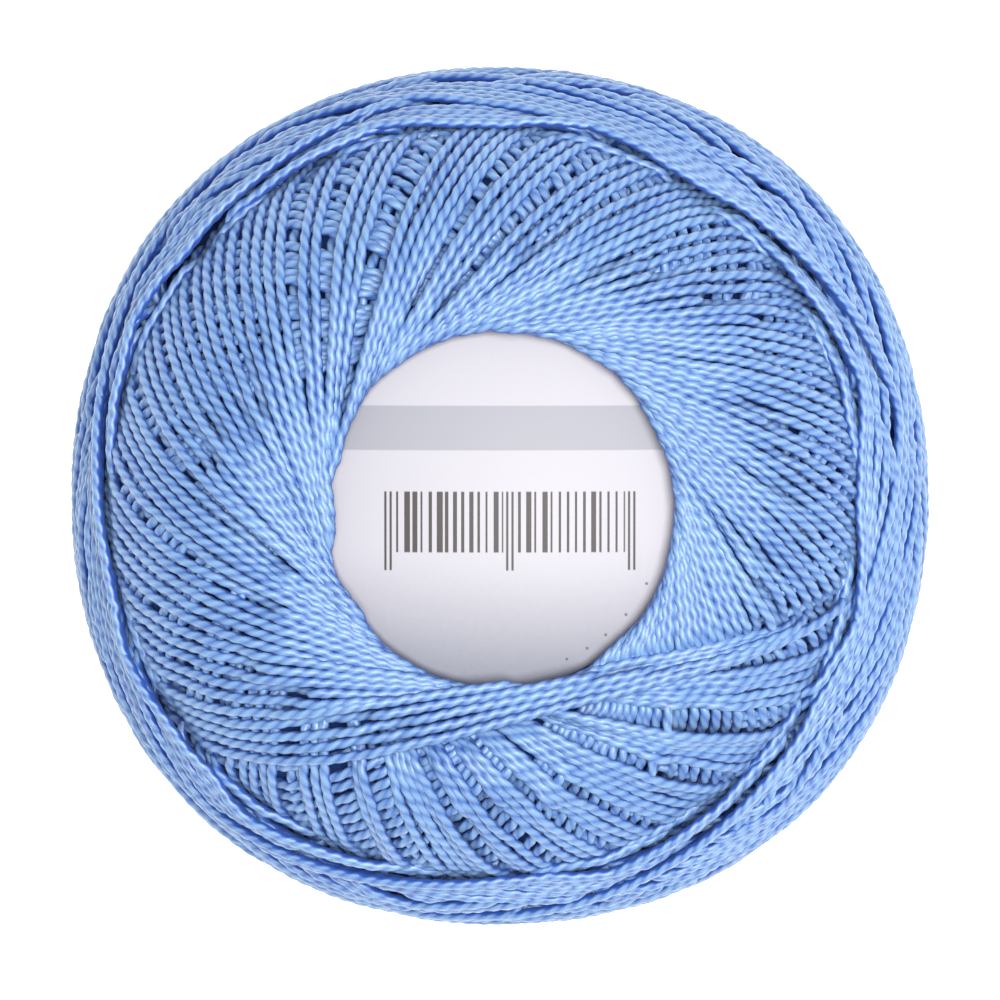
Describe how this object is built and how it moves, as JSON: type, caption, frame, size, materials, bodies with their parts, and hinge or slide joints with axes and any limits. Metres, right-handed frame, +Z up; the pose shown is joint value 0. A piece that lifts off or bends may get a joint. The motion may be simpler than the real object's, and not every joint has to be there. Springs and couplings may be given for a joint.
{
  "type": "ball of crochet thread",
  "caption": "Squat ball of blue mercerised cotton crochet thread, its strands fanning round a round paper label at each end under a belt of level turns.",
  "frame": {"origin": "middle of the flat ring that the ball rests on, at its lower end", "axes": "+Z up along the ball's axis, out of the face with the printed label; +X to the right and +Y to the top as that label is read"},
  "size_m": [0.054, 0.054, 0.04],
  "materials": {
    "cotton_thread": "mercerised two-ply cotton, silky, cornflower blue",
    "label_paper": "smooth white label paper, printed in greys"
  },
  "bodies": {
    "root": {"thread_ball": "cotton_thread", "label_front": "label_paper", "label_back": "label_paper"}
  },
  "joints": []
}
